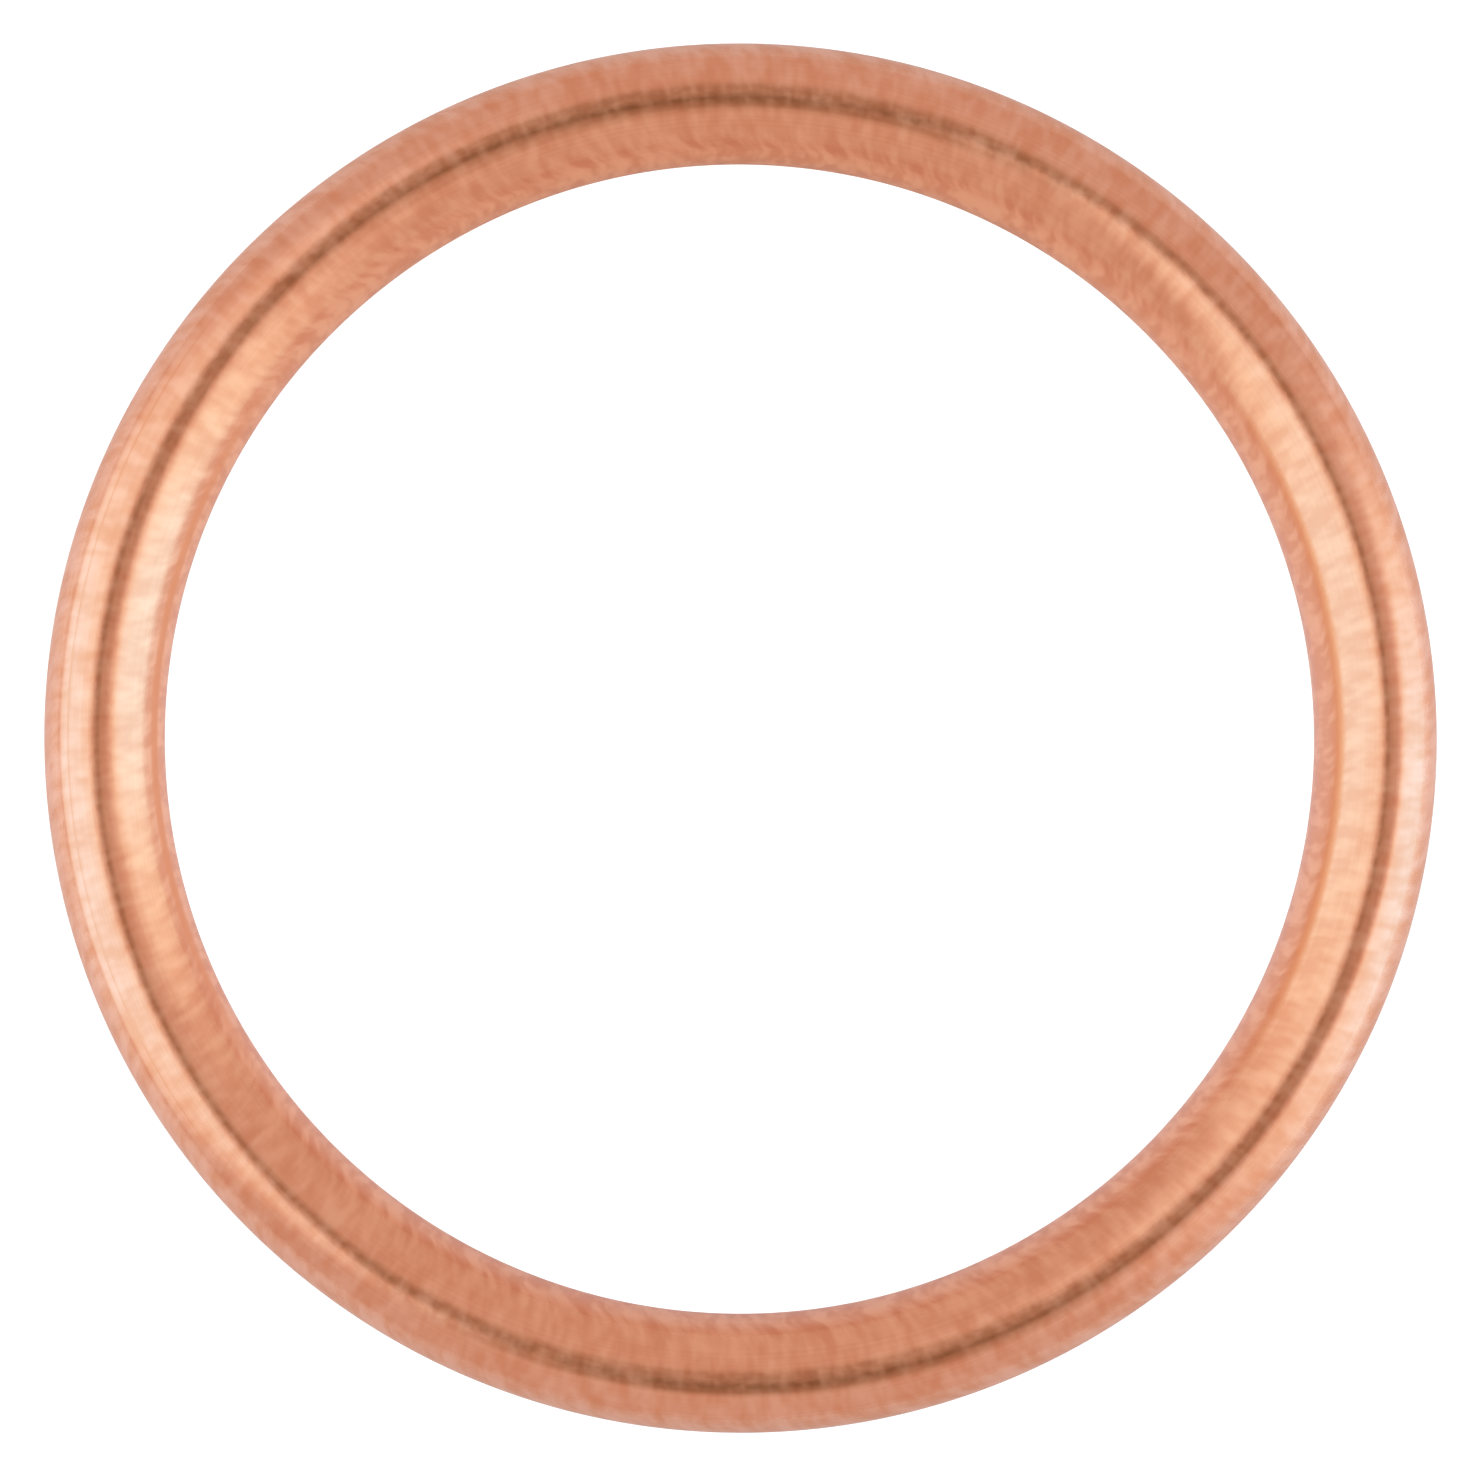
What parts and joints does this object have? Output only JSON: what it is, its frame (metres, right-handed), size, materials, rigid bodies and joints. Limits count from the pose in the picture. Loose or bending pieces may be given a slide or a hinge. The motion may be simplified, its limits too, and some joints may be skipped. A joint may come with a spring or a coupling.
{
  "type": "copper crush washer",
  "caption": "Hollow ring rolled from copper sheet, with a rounded crown and a lapped seam underneath, crushed under a screwed plug to seal its joint.",
  "frame": {"origin": "centre of the bore, on the plane of the lower seal face that the washer lies on", "axes": "+Z along the bore, from the lapped underside to the rounded crown; X and Y lie in the ring's plane"},
  "size_m": [0.027, 0.027, 0.0025],
  "materials": {
    "copper": "soft annealed copper, satin, with fine radial forming marks"
  },
  "bodies": {
    "root": {"crush_washer": "copper"}
  },
  "joints": []
}
